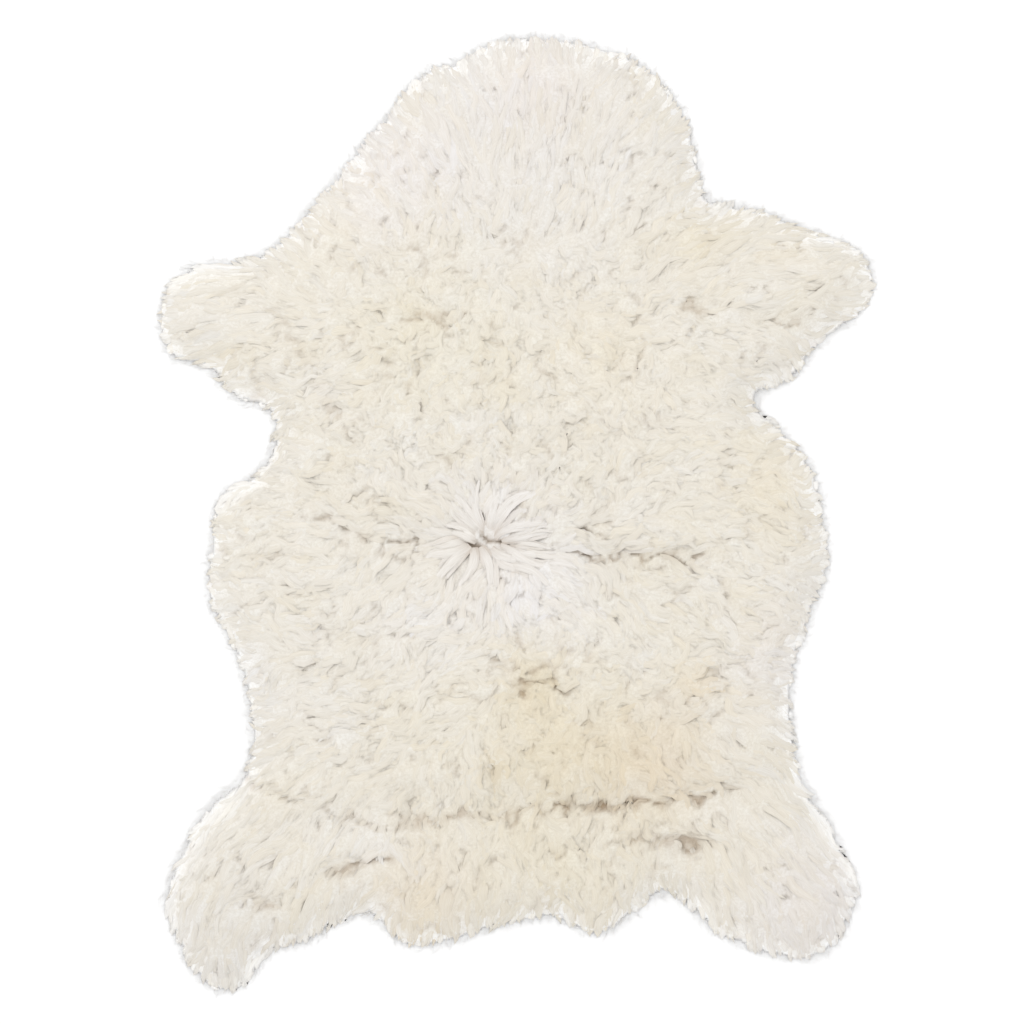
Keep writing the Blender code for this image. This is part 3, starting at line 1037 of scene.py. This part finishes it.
def make_fringe(fleece, edge, material, rng):
    """Single fine fibres that stand out from the edge all round."""
    ring = np.array(finely(edge, FRINGE_GAP))
    count, rings, sides = len(ring), 6, 3
    t = np.linspace(0, 1, rings)[None]
    inward = uphill(fleece, ring)
    root = ring + inward * rng.uniform(*FRINGE_ROOTS, (count, 1)) * MM
    outward = np.arctan2(-inward[:, 1], -inward[:, 0])
    comb = fleece.heading(root)
    x = np.cos(comb) + FRINGE_OUTWARD * np.cos(outward)
    y = np.sin(comb) + FRINGE_OUTWARD * np.sin(outward)
    own = np.arctan2(y, x) - comb + rng.normal(0, FRINGE_SCATTER, count)
    turn = own[:, None] + rng.normal(0, FRINGE_CURL, (count, 1)) * t
    length = rng.uniform(*FRINGE_LENGTH, count) * MM
    reach = np.maximum(-rng.gamma(*FRINGE_REACH, count), -FRINGE_FURTHEST) * MM
    line = fitted_walk(fleece, root, length, rings, turn, reach, 1)
    even, curved = FRINGE_RISE
    z = fleece.read("top", line) + rng.uniform(0, even, (count, 1)) * MM * t
    z += rng.uniform(0, curved, (count, 1)) * MM * t**2
    half = FRINGE_HALF * rng.lognormal(0, 0.25, (count, 1)) * taper(t, blunt=3.0)
    # The fibres are as white as wool gets: partly their own pale colour, partly painted light for
    # the light that shines through them
    tint = np.full((count, rings, 3), BRIGHTEST)
    flat = np.ones((count, 1))
    return strand_piece("fringe", line, z, UPRIGHT, half, flat, sides, tint, material, rng)


# ---------------------------------------------------------------- hide
HIDE_THICK = 1.6 * MM
HIDE_INSET = 12 * MM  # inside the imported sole
DARK_SUEDE = (0.60, 0.49, 0.36)
PALE_SUEDE = (0.76, 0.67, 0.54)


def make_hide(edge, fleece):
    """The tanned skin: a thin flat sheet a little smaller than the wool reaches."""
    ring = np.array(edge)
    ring = ring + uphill(fleece, ring) * HIDE_INSET
    mesh = bmesh.new()
    base = mesh.faces.new([mesh.verts.new((x, y, 0)) for x, y in ring])
    for item in bmesh.ops.extrude_face_region(mesh, geom=[base])["geom"]:
        if isinstance(item, bmesh.types.BMVert):
            item.co.z = HIDE_THICK
    bmesh.ops.recalc_face_normals(mesh, faces=mesh.faces)
    bmesh.ops.triangulate(mesh, faces=mesh.faces)
    data = as_data(mesh, "hide")
    after = np.roll(ring, -1, 0)
    area = abs((ring[:, 0] * after[:, 1] - ring[:, 1] * after[:, 0]).sum()) / 2
    return make_object("hide", data, suede_material()), np.ptp(ring, axis=0), area


def suede_material():
    """The skin side of tanned hide: pale tan, cloudy and finely napped."""
    material, nodes, links = new_material("suede")
    shader = matt_shader(nodes)
    place = nodes.new("ShaderNodeTexCoord").outputs["Object"]
    clouds = noise_at(nodes, links, place, Scale=14, Detail=5)
    nap = noise_at(nodes, links, place, Scale=900)
    base = ramped(nodes, links, clouds, 0.35, DARK_SUEDE, 0.65, PALE_SUEDE)
    fleck = ramped(nodes, links, nap, 0.3, (0.9, 0.9, 0.9), 0.7, (1, 1, 1))
    links.new(multiplied(nodes, links, base, fleck), shader.inputs["Base Color"])
    add_bump(nodes, links, shader, nap, 0.4, 0.3 * MM)
    return material


# ---------------------------------------------------------------- studio
def make_floor():
    mesh = bmesh.new()
    bmesh.ops.create_grid(mesh, x_segments=1, y_segments=1, size=20)
    data = as_data(mesh, "floor")
    material, nodes, _ = new_material("floor")
    shader = nodes["Principled BSDF"]
    shader.inputs["Base Color"].default_value = (0.97, 0.97, 0.97, 1)
    shader.inputs["Roughness"].default_value = 0.9
    shader.inputs["Specular IOR Level"].default_value = 0.1
    data.materials.append(material)
    floor = placed("floor", data)
    floor.location.z = -0.2 * MM


def make_light():
    world = bpy.data.worlds.new("studio")
    bpy.context.scene.world = world
    world.use_nodes = True
    background = world.node_tree.nodes["Background"]
    background.inputs["Color"].default_value = (1, 1, 1, 1)
    background.inputs["Strength"].default_value = 1.0
    light = bpy.data.lights.new("key", "AREA")
    light.shape = "DISK"
    light.size = 2.0
    light.energy = 16
    lamp = placed("key", light)
    lamp.location = (-0.9, 1.4, 2.4)
    lamp.rotation_euler = (-lamp.location).to_track_quat("-Z", "Y").to_euler()


def make_camera():
    """Straight above, so that a metre and a bit of floor fills the frame."""
    camera = bpy.data.cameras.new("camera")
    camera.lens = 85
    camera.sensor_width = 36
    obj = placed("camera", camera)
    fleece_level, across = 0.03, 1.024
    obj.location = (-0.004, 0.002, fleece_level + across * camera.lens / camera.sensor_width)
    bpy.context.scene.camera = obj
    bpy.context.scene.view_settings.view_transform = "Standard"


def main():
    rng = np.random.default_rng(SEED)
    mesh = welded(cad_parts[NODE])
    edge = sole_edge(mesh)
    fleece = Fleece(mesh, edge, rng)
    mesh.free()
    wool = wool_material("wool", "fibre", 1.0, (1.0, 0.06, 1), 0.4 * MM)
    dense = wool_material("dense_wool", "object", 350, (1, 1, 1), 1.0 * MM)
    pieces = [make_underwool(fleece, dense)]
    pieces += make_layer(fleece, "locks", lambda line: fleece.read("top", line), wool, rng)
    pieces.append(make_whorl(fleece, wool, rng))
    pieces += make_layer(fleece, "wisps", Felt(pieces, fleece), wool, rng)
    pieces.append(make_fringe(fleece, edge, wool, rng))
    hide, flat, area = make_hide(edge, fleece)
    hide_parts(NODE)
    tuple(float(side) for side in flat)
    make_floor()
    make_light()
    make_camera()


main()
